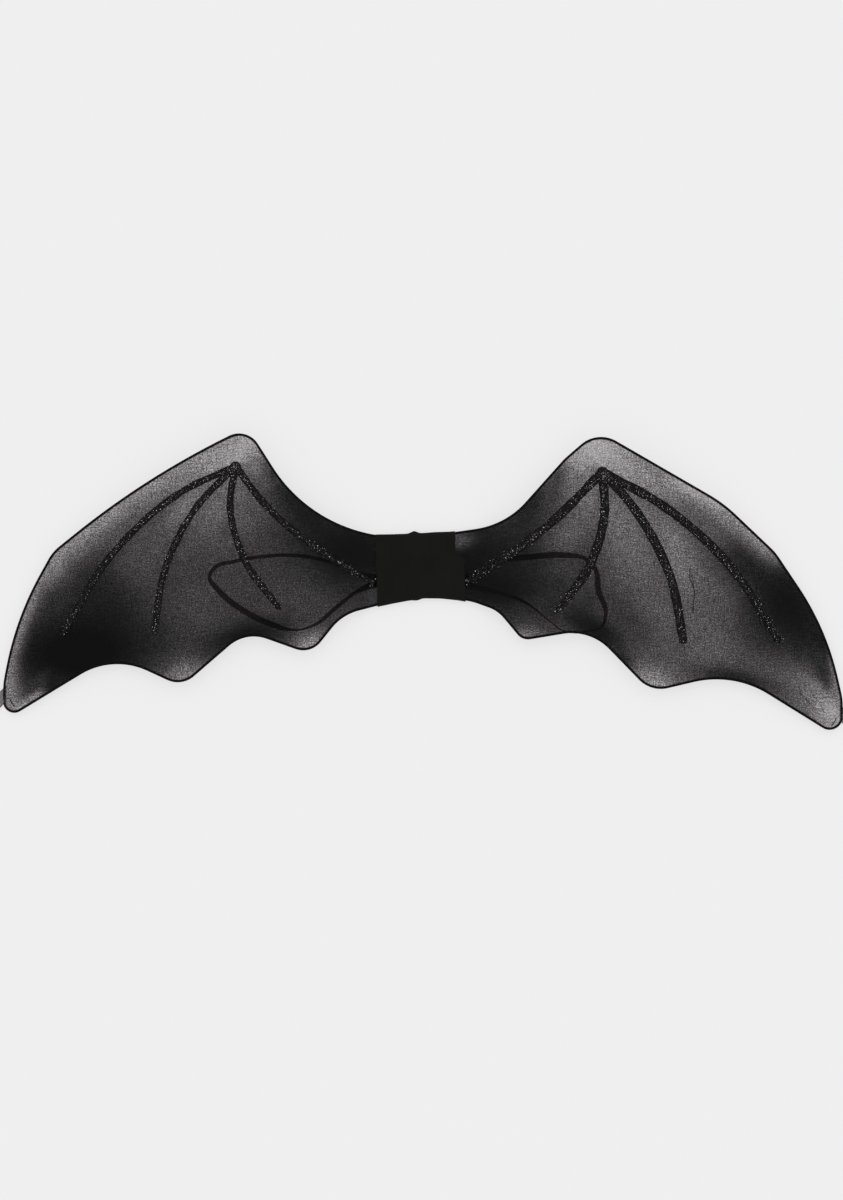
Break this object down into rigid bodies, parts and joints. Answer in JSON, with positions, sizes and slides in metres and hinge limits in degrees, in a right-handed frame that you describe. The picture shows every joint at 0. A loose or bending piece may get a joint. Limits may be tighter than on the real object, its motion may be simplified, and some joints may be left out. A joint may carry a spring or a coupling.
{
  "type": "costume bat wings",
  "caption": "Pair of wearable bat wings: sheer knit sleeves over bent wire frames with raised glitter veins, a wide middle band, elastic arm straps and ribbon loops at the tips.",
  "frame": {"origin": "middle of the band's flat back face, on the surface that the wings lie on", "axes": "+X along the span towards the right tip as seen from the front, +Y towards the upper edge, +Z out of the front"},
  "size_m": [0.9034, 0.2971, 0.0229],
  "materials": {
    "wire": "satin black coated wire",
    "sheer_knit": "fine stretched black nylon knit, sheer",
    "glitter_glue": "black glue full of small black, silver and gold glitter",
    "band_knit": "matt black knit, wrapped tight",
    "elastic": "ribbed black woven elastic",
    "ribbon": "sheer black ribbon"
  },
  "bodies": {
    "root": {"left_wing_wire": "wire", "right_wing_wire": "wire", "left_knit_sleeve": "sheer_knit", "right_knit_sleeve": "sheer_knit", "left_glitter_veins": "glitter_glue", "right_glitter_veins": "glitter_glue", "left_arm_strap": "elastic", "right_arm_strap": "elastic", "left_tip_loop": "ribbon", "right_tip_loop": "ribbon", "centre_band": "band_knit"}
  },
  "joints": []
}
